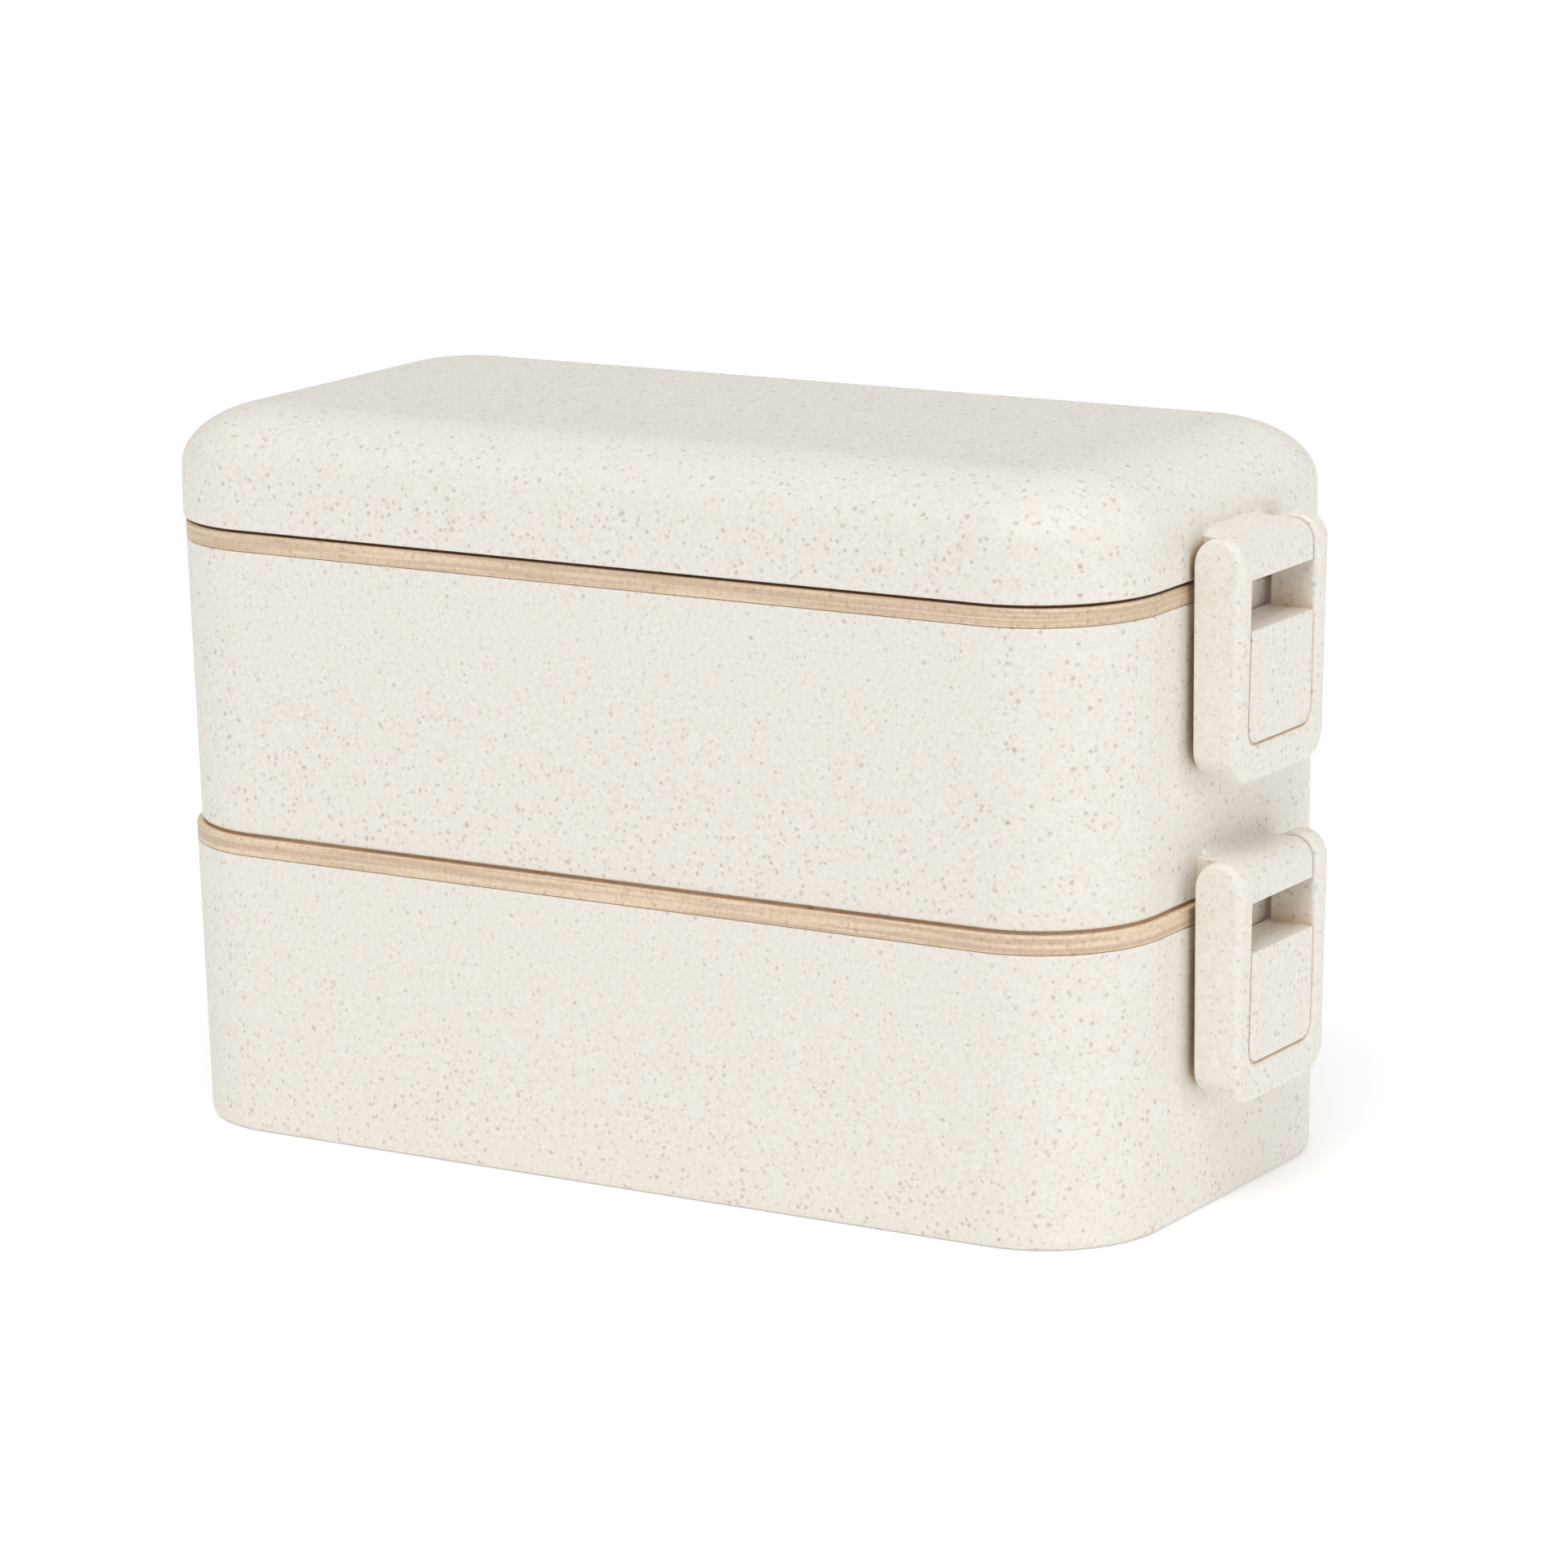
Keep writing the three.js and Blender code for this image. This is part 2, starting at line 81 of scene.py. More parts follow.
RIM_X = inner_lid_high.x
RIM_Y = inner_lid_high.y
LOWER_RIM = lower_tier_high.z
UPPER_BASE = inner_lid_high.z
UPPER_RIM = upper_tier_high.z
TIER = LOWER_RIM
BAND = UPPER_BASE - LOWER_RIM
LID_BASE = UPPER_RIM + BAND
LID_TOP = lid_high.z - LID_BASE
OVERHANG = lid_high.y - RIM_Y

# --- Sizes of the mouldings, in millimetres --------------------------------------------------

# Tiers. The caps that close a loft lie this far in, on the flat of a floor or plate.
CORNER = 20.5
CORNER_STEPS = 20
ARC_STEPS = 6
WALL = 2.0
FLOOR = 2.0
DRAFT = 0.9
INNER_FILLET = 4.0
RIM_EDGE = 0.5
BASE_EDGE = 1.5
BASE_RECESS = 1.0
FOOT_WIDTH = 7.0
UNDERFLOOR = 2.5
LIP_OUT = 2.4
LIP_IN = 4.1
LIP_DROP = 1.4
CAP_INSET = 14.0
LID_CAP_INSET = 18.0

# Inner lids: insets from the rim, and heights from the underside of the tan band.
RAISED = 2.0
PLATE = 1.8
SHADOW_STEP = 1.5
SHADOW_GAP = 0.5
SKIRT_OUT = 2.5
SKIRT_IN = 4.3
SKIRT_DEPTH = 7.0
GROOVE_IN = 3.5
GROOVE_TOP = -2.4
GROOVE_BOTTOM = -5.0
SEAL_GAP = 0.2
PANEL_LINE = 12.0
PANEL_LINE_WIDTH = 3.0
PANEL_LINE_DEPTH = 0.5

# Vent plugs: radii, and heights from the underside of the head.
VENT_X = (plug_low.x + plug_high.x) / 2
VENT_HOLE = 3.2
PLUG_HEAD = (plug_high.x - plug_low.x) / 2
PLUG_STEM = 2.8
PLUG_AXIS = 0.05
PLUG_TIP = -3.4
PLUG_TAPER = 1.0
PLUG_SEAT = 0.1
PLUG_RIM_TOP = 1.1
PLUG_DISH = 0.95
BUTTON_FOOT = 3.2
BUTTON = 3.0
BUTTON_TOP = 2.2
DIMPLE = 1.2
DIMPLE_FLOOR = 1.7

# The divider: a web inside a wider edging, with a gap to the tier's walls.
DIVIDER_GAP = 0.3
DIVIDER_EDGING = 1.4
DIVIDER_CORNER = INNER_FILLET + 1.5
DIVIDER_HEAD_ROUND = 1.0
DIVIDER_EDGE = 0.4
WEB_HALF = 0.9
WEB_INSET = 0.2
WEB_DROP = 0.1

# The outer lid: an upright wall, and a quarter ellipse from it to the flat top.
LID_WALL = 8.3
DOME_RUN = 17.0
DOME_STEPS = 20
LID_SHOULDER = 1.5
LID_LIP_TOP = 3.0

# Clasps: the pivot's place and all heights are from the end of a rim, outwards and upwards.
PIVOT_OUT = 5.425
PIVOT_UP = 6.4
ARM_RADIUS = clasp_high.z - UPPER_RIM - PIVOT_UP
CLASP_HALF = clasp_high.y
CLASP_CORNER = 5.0
CLASP_BOTTOM = clasp_low.z - UPPER_RIM
CLASP_SLOPE = 1.7
CLASP_LEAN_BACK = 0.01
CLASP_LEAN_FRONT = 0.033
ARM_ROW = -12.0
TURN_ROWS = 14
TURN_STEPS = 12
HEAD_STEPS = 16
ARM_FRONT_ROUND = 1.5
ARM_WINDOW_ROUND = 1.0
ARM_BACK_ROUND = 0.4
WINDOW_HALF = 10.7
SHELF_TOP = -4.3
SHELF = 2.0
SHELF_BACK = 0.3
PANEL_BOTTOM = -22.6
PANEL_CORNER = 3.0
PANEL_FRONT = PIVOT_OUT + ARM_RADIUS - 0.3
PANEL_BACK = PANEL_FRONT - 2.0
PANEL_SINK = 0.4
PANEL_EDGE = 0.25
PANEL_HEAD_ROUND = 0.3
SEAM = 0.38
SEAM_DEPTH = 0.6
BACKING_LAP = 0.6
BACKING_DROP = 1.0
SHELF_INSET = 0.6
SHELF_DROP = 0.02
SHELF_LAP = 0.5
SHELF_ROUND = 0.3

# Hinge lugs, the blend between lug and wall, and where each wall lies outwards from the rim.
LUG_HALF = WINDOW_HALF - 0.3
LUG_RADIUS = 3.5
LUG_BLEND = 2.4
LUG_END_ROUND = 1.2
LUG_DEPTH = 1.2
LUG_CORNER = 0.4
LUG_EDGE = 0.35
BLEND_START = 0.3
BLEND_RISE = 3.5
BLEND_SINK = 0.45
TIER_WALL_OUT = 0.05 - DRAFT
LID_WALL_OUT = OVERHANG - 0.03
SOCKET_RADIUS = 1.5
SOCKET_GAP = 0.3
STUB_RADIUS = 1.2
STUB_LENGTH = 2.5
STUB_EDGE = 0.2

# Catch ribs on the walls and hooks on the clasps: heights are from the rim above them.
CATCH_HALF = 8.0
RIB_OUT = 0.8
RIB_ROOT = -1.4
RIB_ROOT_FOOT = -12.6
RIB_FOOT = -10.9
RIB_HEAD = -9.3
RIB_ROOT_HEAD = -8.6
RIB_ROUND = 0.4
RIB_EDGE = 0.25
HOOK_GAP = 0.3
HOOK_SINK = 0.5
HOOK_HEAD = -12.0
HOOK_FOOT = -13.1
HOOK_ROOT_FOOT = -14.2
HOOK_ROUND = 0.2

# --- Outlines --------------------------------------------------------------------------------


def corner_arc(before, here, after, radius, steps):
    """Points of the arc that rounds one corner, or the corner itself when radius is 0."""
    into = (here - before).normalized()
    out = (after - here).normalized()
    turn = math.acos(max(-1.0, min(1.0, into.dot(out))))
    if radius == 0 or turn < STRAIGHT:
        return [here]
    side = 1 if into.x * out.y - into.y * out.x > 0 else -1
    start = here - into * radius * math.tan(turn / 2)
    centre = start + Vector((-into.y, into.x)) * side * radius
    spins = [Matrix.Rotation(side * turn * step / steps, 2) for step in range(steps + 1)]
    return [centre + spin @ (start - centre) for spin in spins]


def rounded_line(corners, steps=ARC_STEPS):
    """An open line through corners given as (x, y, radius)."""
    line = [Vector(corners[0][:2])]
    for before, here, after in zip(corners, corners[1:], corners[2:]):
        points = [Vector(corner[:2]) for corner in (before, here, after)]
        line += corner_arc(*points, here[2], steps)
    line.append(Vector(corners[-1][:2]))
    return line


def rounded_loop(corners, steps=ARC_STEPS):
    """A closed outline through corners given as (x, y, radius)."""
    outline = []
    for i, here in enumerate(corners):
        after = corners[(i + 1) % len(corners)]
        points = [Vector(corner[:2]) for corner in (corners[i - 1], here, after)]
        outline += corner_arc(*points, here[2], steps)
    return outline


def quarter(start, end, steps, upright_first):
    """A quarter ellipse from start to end, as (x, y, 0) corners; it sets off upright or level."""
    corners = []
    for step in range(steps + 1):
        angle = math.pi / 2 * step / steps
        across = 1 - math.cos(angle) if upright_first else math.sin(angle)
        along = math.sin(angle) if upright_first else 1 - math.cos(angle)
        x = start[0] + (end[0] - start[0]) * across
        y = start[1] + (end[1] - start[1]) * along
        corners.append((x, y, 0))
    return corners


def circle(radius, x, y, count=32):
    """A counter-clockwise circle about (x, y)."""
    angles = [2 * math.pi * i / count for i in range(count)]
    return [Vector((x + radius * math.cos(a), y + radius * math.sin(a))) for a in angles]


def shrunk(outline, amount):
    """A closed counter-clockwise outline moved inwards by amount."""
    moved = []
    for i, here in enumerate(outline):
        into = (here - outline[i - 1]).normalized()
        out = (outline[(i + 1) % len(outline)] - here).normalized()
        normal_in = Vector((-into.y, into.x))
        normal_out = Vector((-out.y, out.x))
        moved.append(here + (normal_in + normal_out) * amount / (1 + normal_in.dot(normal_out)))
    return moved


def resampled(line, count):
    """The same line with count points evenly spaced along it."""
    line = [line[0]] + [b for a, b in zip(line, line[1:]) if (b - a).length > NO_LENGTH]
    reach = [0.0]
    for a, b in zip(line, line[1:]):
        reach.append(reach[-1] + (b - a).length)
    points = []
    for i in range(count):
        target = reach[-1] * i / (count - 1)
        k = max(j for j in range(len(line) - 1) if reach[j] <= target + LENGTH_SLACK)
        share = (target - reach[k]) / (reach[k + 1] - reach[k])
        points.append(line[k].lerp(line[k + 1], share))
    return points


def plan_ring(inset, z):
    """The plan outline of the box, inset from the rim, at height z."""
    radius = CORNER - inset
    ring = []
    for corner in range(4):
        x = (RIM_X - CORNER) * (1 if corner in (0, 3) else -1)
        y = (RIM_Y - CORNER) * (1 if corner < 2 else -1)
        for step in range(CORNER_STEPS + 1):
            angle = (corner + step / CORNER_STEPS) * math.pi / 2
            ring.append((x + radius * math.cos(angle), y + radius * math.sin(angle), z))
    return ring


# --- Meshes ----------------------------------------------------------------------------------


def add_object(name, data):
    """A new object in the scene, holding this data."""
    piece = bpy.data.objects.new(name, data)
    bpy.context.scene.collection.objects.link(piece)
    return piece


def mesh_object(name, points, faces):
    """A mesh object from points in millimetres, its faces turned outwards."""
    mesh = bpy.data.meshes.new(name)
    mesh.from_pydata([Vector(p) * MM for p in points], [], faces)
    work = bmesh.new()
    work.from_mesh(mesh)
    bmesh.ops.remove_doubles(work, verts=work.verts, dist=SAME_POINT)
    bmesh.ops.recalc_face_normals(work, faces=work.faces)
    work.to_mesh(mesh)
    work.free()
    return add_object(name, mesh)


def ring_faces(rows, count, looped=False):
    """Quads between rows of count points each, every row closed on itself."""
    faces = []
    for row in range(rows if looped else rows - 1):
        here = row * count
        there = (row + 1) % rows * count
        for i in range(count):
            j = (i + 1) % count
            faces.append((here + i, here + j, there + j, there + i))
    return faces


def skin(name, rings, capped=True):
    """A closed skin over rings of points: flat caps at both ends, or looped back to the start."""
    count = len(rings[0])
    faces = ring_faces(len(rings), count, looped=not capped)
    if capped:
        top = (len(rings) - 1) * count
        faces.append(tuple(reversed(range(count))))
        faces.append(tuple(range(top, top + count)))
    return mesh_object(name, [p for ring in rings for p in ring], faces)


def loft(name, corners, base):
    """The plan outline carried along an open profile of (inset, z, radius) corners."""
    return skin(name, [plan_ring(p.x, base + p.y) for p in rounded_line(corners)])


def extrude(name, outline, axis, start, end, edge=0.0, steps=4):
    """A counter-clockwise outline carried along axis, with the edges of both ends rounded.

    The outline's own two directions are X and Z when axis is "y", and Y and Z when it is "x".
    """
    slices = [(start, 0.0), (end, 0.0)]
    if edge:
        angles = [math.pi / 2 * step / steps for step in range(steps + 1)]
        round_over = [(edge * (1 - math.cos(a)), edge * (1 - math.sin(a))) for a in angles]
        slices = [(start + depth, shrink) for depth, shrink in round_over]
        slices += [(end - depth, shrink) for depth, shrink in reversed(round_over)]
    rings = []
    for along, shrink in slices:
        points = shrunk(outline, shrink) if shrink else outline
        rings.append([(p.x, along, p.y) if axis == "y" else (along, p.x, p.y) for p in points])
    return skin(name, rings)


def lathe(name, profile, x, y, z, count=48):
    """A profile of (radius, height) points turned about an upright axis through (x, y)."""
    rings = []
    for radius, height in profile:
        rings.append([(x + p.x, y + p.y, z + height) for p in circle(radius, 0, 0, count)])
    return skin(name, rings)


def combine(piece, tool, operation="UNION"):
    """Joins tool to piece, or cuts it away from it, and removes tool."""
    modifier = piece.modifiers.new("combine", "BOOLEAN")
    modifier.object = tool
    modifier.operation = operation
    modifier.solver = "MANIFOLD"
    depsgraph = bpy.context.evaluated_depsgraph_get()
    result = bpy.data.meshes.new_from_object(piece.evaluated_get(depsgraph))
    piece.modifiers.clear()
    piece.data = result
    bpy.data.objects.remove(tool)


def both_sides(near, far):
    """The stretch from near to far across the box, and its mirror image."""
    return (-far, -near), (near, far)


def at_end(piece, side, rim):
    """Moves a piece drawn as (out, across, up) to one end of the box, at a tier's rim."""
    turn = Matrix.Rotation(0 if side == "right" else math.pi, 4, "Z")
    piece.data.transform(turn @ Matrix.Translation(Vector((RIM_X, 0, rim)) * MM))
    return piece


def settle(piece, body, node, material):
    """Smooths a finished piece, gives it its material and ties it to the frame."""
    mesh = piece.data
    mesh.materials.clear()
    mesh.materials.append(material)
    mesh.shade_smooth()
    mesh.set_sharp_from_angle(angle=math.radians(CREASE))
    weighted = piece.modifiers.new("weighted normals", "WEIGHTED_NORMAL")
    weighted.keep_sharp = True
    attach(piece, body)
    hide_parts(node)


# --- Materials -------------------------------------------------------------------------------


def linear(red, green, blue):
    """A display colour of 0 to 255 as the linear colour that shaders take."""
    shares = [value / 255 for value in (red, green, blue)]
    curve = [s / 12.92 if s <= 0.04045 else ((s + 0.055) / 1.055) ** 2.4 for s in shares]
    return (*curve, 1.0)


def feed(tree, socket, value):
    """Links another node's output to a socket, or sets the socket's own value."""
    if isinstance(value, bpy.types.NodeSocket):
        tree.links.new(value, socket)
    else:
        socket.default_value = value


def add_node(tree, kind, settings=(), **inputs):
    """A node with its settings and inputs; an input is a value or another node's output."""
    node = tree.nodes.new(kind)
    for key, value in dict(settings).items():
        setattr(node, key, value)
    for key, value in inputs.items():
        feed(tree, node.inputs[key.replace("_", " ")], value)
    return node


def ramp(tree, value, stops):
    """A colour ramp over (position, colour) stops."""
    node = add_node(tree, "ShaderNodeValToRGB", Fac=value)
    elements = node.color_ramp.elements
    while len(elements) < len(stops):
        elements.new(1.0)
    for element, (position, colour) in zip(elements, stops):
        element.position = position
        element.color = colour
    return node.outputs["Color"]


def mixed(tree, factor, first, second, blend="MIX"):
    """Two colours mixed by a factor; the node keeps its colour sockets after its number ones."""
    node = add_node(tree, "ShaderNodeMix", {"data_type": "RGBA", "blend_type": blend})
    for place, value in ((0, factor), (6, first), (7, second)):
        feed(tree, node.inputs[place], value)
    return node.outputs[2]


def math_node(tree, operation, first, second=0.0):
    """One sum or comparison of two numbers."""
    node = add_node(tree, "ShaderNodeMath", {"operation": operation})
    for socket, value in zip(node.inputs, (first, second)):
        feed(tree, socket, value)
    return node.outputs[0]


def rescaled(tree, share, low, high=1.0):
    """A share of 0 to 1 turned into a number from low to high."""
    return add_node(tree, "ShaderNodeMapRange", Value=share, To_Min=low, To_Max=high).outputs[0]


# Flecks: the smallest radius as a share of the largest, how crisp an edge is, the faintest strength.
SMALLEST_FLECK = 0.45
FLECK_EDGE = 5.5
FAINTEST_FLECK = 0.35

# Cells to a millimetre, the share of cells with a fleck, and the largest radius in cells.
SMALL_FLECKS = (0.8, 0.8, 0.4)
LARGE_FLECKS = (0.45, 0.6, 0.27)
SMALL_FLECK_STRENGTH = 0.5
LARGE_FLECK_STRENGTH = 0.7


def flecks(tree, place, per_mm, share, size):
    """A mask of soft round flecks: one in each of a share of the cells, its radius up to size cells."""
    cells = add_node(tree, "ShaderNodeTexVoronoi", Vector=place, Scale=per_mm / MM, Randomness=1.0)
    pick = add_node(tree, "ShaderNodeSeparateColor", Color=cells.outputs["Color"])
    chosen = math_node(tree, "LESS_THAN", pick.outputs["Red"], share)
    reach = rescaled(tree, pick.outputs["Green"], SMALLEST_FLECK * size, size)
    depth = math_node(tree, "SUBTRACT", reach, cells.outputs["Distance"])
    soft = math_node(tree, "MULTIPLY", depth, FLECK_EDGE)
    clipped = add_node(tree, "ShaderNodeClamp", Value=soft).outputs[0]
    strength = rescaled(tree, pick.outputs["Blue"], FAINTEST_FLECK)
    return math_node(tree, "MULTIPLY", math_node(tree, "MULTIPLY", clipped, chosen), strength)


# The upward part of a surface's direction where it counts as facing the floor, and as upright.
FACES_DOWN = -0.35
FACES_ASIDE = -0.05


def upright_share(tree, normal):
    """1 on surfaces that face sideways or up, fading to 0 on those that face the floor."""
    height = add_node(tree, "ShaderNodeSeparateXYZ", Vector=normal).outputs["Z"]
    share = add_node(tree, "ShaderNodeMapRange", Value=height, From_Min=FACES_DOWN, From_Max=FACES_ASIDE)
    return share.outputs[0]


def new_material(name):
    """A material with its node tree and its shader."""
    material = bpy.data.materials.new(name)
    material.use_nodes = True
    tree = material.node_tree
    return material, tree, tree.nodes["Principled BSDF"]


# Painted shade in crevices and gaps between parts: how far they are looked for, and how open they are at each
# of the four painted shades.
SHADE = (2.5 * MM, (0.25, 0.38, 0.48, 0.56))
OWN_SHADE = (8.0 * MM, (0.08, 0.3, 0.6, 0.84))
# The colours that the painted shade multiplies in, from dark brown deep in a crevice to none in the open.
CREVICE_PAINTED_SHADES = [(0.38, 0.26, 0.18, 1), (0.86, 0.72, 0.59, 1), (1.0, 0.88, 0.77, 1), (1, 1, 1, 1)]

# The range of roughness, and how deep a large fleck is against the grain of the surface.
ROUGHNESS = (0.44, 0.56)
FLECK_DENT = 0.6

# How far the flecks are bent out of round, and how much the streaks are stretched.
BEND = 0.7 * MM
STREAK_STRETCH = 0.02
# Surfaces whose direction is further up or down than this have no streaks.
STREAK_LEAN = 0.7


def straw_plastic(name, base, pale, warm, dark, streaks=0.0, own_shade=False):
    """Moulded plastic filled with ground straw: finely mottled, with soft flecks of two sizes.

    The streaks of the tan grade run lengthwise along upright surfaces. Crevices get painted shade, a darker
    and warmer colour from ambient occlusion; with own_shade that is by the hollows of the piece itself, and
    reaches further out of them.
    """
    material, tree, shader = new_material(name)
    place = add_node(tree, "ShaderNodeTexCoord")
    spot = place.outputs["Object"]
    bent = add_node(tree, "ShaderNodeTexNoise", Vector=spot, Scale=1.3 / MM, Detail=1.0)
    shift = add_node(tree, "ShaderNodeVectorMath", {"operation": "SCALE"}, Vector=bent.outputs["Color"])
    shift.inputs["Scale"].default_value = BEND
    warped = add_node(tree, "ShaderNodeVectorMath", {"operation": "ADD"})
    tree.links.new(spot, warped.inputs[0])
    tree.links.new(shift.outputs[0], warped.inputs[1])
    uneven = warped.outputs[0]

    grain = add_node(tree, "ShaderNodeTexNoise", Vector=spot, Scale=1.3 / MM, Detail=3.0, Roughness=0.65)
    tint = ramp(tree, grain.outputs["Fac"], [(0.36, pale), (0.5, base), (0.68, warm)])
    if streaks:
        stretch = (STREAK_STRETCH, STREAK_STRETCH, 1.0)
        lengthwise = add_node(tree, "ShaderNodeMapping", Vector=spot, Scale=stretch)
        lines = add_node(tree, "ShaderNodeTexNoise", Vector=lengthwise.outputs[0], Scale=1.5 / MM, Detail=2.0)
        line = ramp(tree, lines.outputs["Fac"], [(0.4, (0, 0, 0, 1)), (0.6, (1, 1, 1, 1))])
        slope = add_node(tree, "ShaderNodeSeparateXYZ", Vector=place.outputs["Normal"])
        level = math_node(tree, "ABSOLUTE", slope.outputs["Z"])
        upright = math_node(tree, "LESS_THAN", level, STREAK_LEAN)
        shade = math_node(tree, "MULTIPLY", line, math_node(tree, "MULTIPLY", upright, streaks))
        tint = mixed(tree, shade, tint, dark)

    small = math_node(tree, "MULTIPLY", flecks(tree, uneven, *SMALL_FLECKS), SMALL_FLECK_STRENGTH)
    large = math_node(tree, "MULTIPLY", flecks(tree, uneven, *LARGE_FLECKS), LARGE_FLECK_STRENGTH)
    colour = mixed(tree, large, mixed(tree, small, tint, dark), dark)

    # Painted shade: ambient occlusion darkens the colour towards warm brown in crevices and in gaps between
    # parts.
    reach, open_shares = OWN_SHADE if own_shade else SHADE
    crevice = add_node(
        tree, "ShaderNodeAmbientOcclusion", {"samples": 8, "only_local": own_shade}, Distance=reach
    )
    painted_shade = ramp(tree, crevice.outputs["AO"], list(zip(open_shares, CREVICE_PAINTED_SHADES)))
    # The painted shade is kept off surfaces that face the floor.
    upright = upright_share(tree, place.outputs["Normal"])
    shaded = mixed(tree, upright, colour, painted_shade, "MULTIPLY")
    tree.links.new(shaded, shader.inputs["Base Color"])

    haze = add_node(tree, "ShaderNodeTexNoise", Vector=spot, Scale=1.4 / MM, Detail=2.0)
    tree.links.new(rescaled(tree, haze.outputs["Fac"], *ROUGHNESS), shader.inputs["Roughness"])
    skin_grain = add_node(tree, "ShaderNodeTexNoise", Vector=spot, Scale=3.0 / MM, Detail=2.0)
    dents = math_node(tree, "MULTIPLY", large, FLECK_DENT)
    height = math_node(tree, "SUBTRACT", skin_grain.outputs["Fac"], dents)
    bump = add_node(tree, "ShaderNodeBump", Height=height, Strength=0.12, Distance=0.1 * MM)
    tree.links.new(bump.outputs[0], shader.inputs["Normal"])
    shader.inputs["IOR"].default_value = 1.5
    shader.inputs["Subsurface Weight"].default_value = 0.05
    shader.inputs["Subsurface Radius"].default_value = (0.6, 0.45, 0.3)
    shader.inputs["Subsurface Scale"].default_value = 2 * MM
    return material


def silicone():
    """Milky silicone rubber with a faint cloudiness and a fine skin."""
    material, tree, shader = new_material("silicone")
    place = add_node(tree, "ShaderNodeTexCoord").outputs["Object"]
    cloud = add_node(tree, "ShaderNodeTexNoise", Vector=place, Scale=0.25 / MM, Detail=2.0)
    tint = ramp(tree, cloud.outputs["Fac"], [(0.3, linear(226, 223, 216)), (0.7, linear(240, 238, 233))])
    tree.links.new(tint, shader.inputs["Base Color"])
    grain = add_node(tree, "ShaderNodeTexNoise", Vector=place, Scale=4.0 / MM, Detail=1.0)
    bump = add_node(tree, "ShaderNodeBump", Height=grain.outputs["Fac"], Strength=0.08, Distance=0.1 * MM)
    tree.links.new(bump.outputs[0], shader.inputs["Normal"])
    shader.inputs["Roughness"].default_value = 0.42
    shader.inputs["Subsurface Weight"].default_value = 0.25
    shader.inputs["Subsurface Radius"].default_value = (1.0, 0.9, 0.8)
    shader.inputs["Subsurface Scale"].default_value = 2 * MM
    return material


BODY = straw_plastic(
    "body_plastic",
    base=linear(235, 230, 221),
    pale=linear(237, 234, 227),
    warm=linear(229, 220, 210),
    dark=linear(172, 143, 125),
)
CLASP = straw_plastic(
    "clasp_plastic",
    base=linear(236, 231, 222),
    pale=linear(238, 235, 228),
    warm=linear(230, 221, 211),
    dark=linear(174, 145, 127),
    own_shade=True,
)
TAN = straw_plastic(
    "band_plastic",
    base=linear(229, 208, 181),
    pale=linear(234, 214, 188),
    warm=linear(219, 193, 163),
    dark=linear(166, 130, 102),
    streaks=0.4,
)
SILICONE = silicone()

# --- End features: lugs and catch ribs -------------------------------------------------------


def lug_outline(blend, wall_out):
    """Side view of a lug: flat below, round in front, its top meeting the wall in a blend."""
    top = PIVOT_UP + LUG_RADIUS
    front = PIVOT_OUT + LUG_RADIUS
    root = wall_out - LUG_DEPTH
    corners = [
        (root, BAND, 0),
        (front, BAND, LUG_CORNER),
        (front, top, LUG_RADIUS),
        (wall_out, top + BLEND_START, blend),
        (wall_out - BLEND_SINK, top + BLEND_RISE, 0),
        (root, top + BLEND_RISE, 0),
    ]
    return rounded_loop(corners, steps=10)


def add_lugs(piece, rim, wall_out):
    """Joins the two hinge lugs that the clasps of this rim hang from, with sockets for the stubs."""
    plain = lug_outline(LUG_CORNER, wall_out)
    swell = lug_outline(LUG_BLEND, wall_out)
    middle = LUG_HALF - LUG_END_ROUND
    hole = circle(SOCKET_RADIUS, PIVOT_OUT, PIVOT_UP)
    for side in ("right", "left"):
        lug = extrude("lug", plain, "y", -LUG_HALF, LUG_HALF, edge=LUG_EDGE)
        combine(lug, extrude("blend", swell, "y", -middle, middle, edge=LUG_END_ROUND))
        for near, far in both_sides(WINDOW_HALF - STUB_LENGTH - SOCKET_GAP, LUG_HALF + TOOL_REACH):
            combine(lug, extrude("socket", hole, "y", near, far), "DIFFERENCE")
        combine(piece, at_end(lug, side, rim))


def add_ribs(piece, rim):
    """Joins the catch rib below the rim at each end."""
    outline = rounded_loop(
        [
            (RIB_ROOT, RIB_ROOT_FOOT, 0),
            (RIB_OUT, RIB_FOOT, RIB_ROUND),
            (RIB_OUT, RIB_HEAD, RIB_ROUND),
            (RIB_ROOT, RIB_ROOT_HEAD, 0),
        ]
    )
    for side in ("right", "left"):
        rib = extrude("rib", outline, "y", -CATCH_HALF, CATCH_HALF, edge=RIB_EDGE)
        combine(piece, at_end(rib, side, rim))


# --- The stack -------------------------------------------------------------------------------


def tier_wall(floor_top):
    """Profile corners of a tier, over its rim and down its inside to the floor."""
    inner_base = DRAFT * (1 - floor_top / TIER) + WALL
    return [
        (0.0, TIER, RIM_EDGE),
        (WALL, TIER, RIM_EDGE),
        (inner_base, floor_top, INNER_FILLET),
        (CAP_INSET, floor_top, 0),
    ]


def lower_tier():
    """The lower tray, standing on a ring-shaped foot, with its catch ribs."""
    foot = [
        (CAP_INSET, BASE_RECESS, 0),
        (FOOT_WIDTH + BASE_RECESS, BASE_RECESS, 0.6),
        (FOOT_WIDTH, 0.0, 0.5),
        (DRAFT, 0.0, BASE_EDGE),
    ]
    piece = loft("tier_lower", foot + tier_wall(BASE_RECESS + FLOOR), 0)
    add_ribs(piece, LOWER_RIM)
    settle(piece, "lower_tier", "lower_tier", BODY)


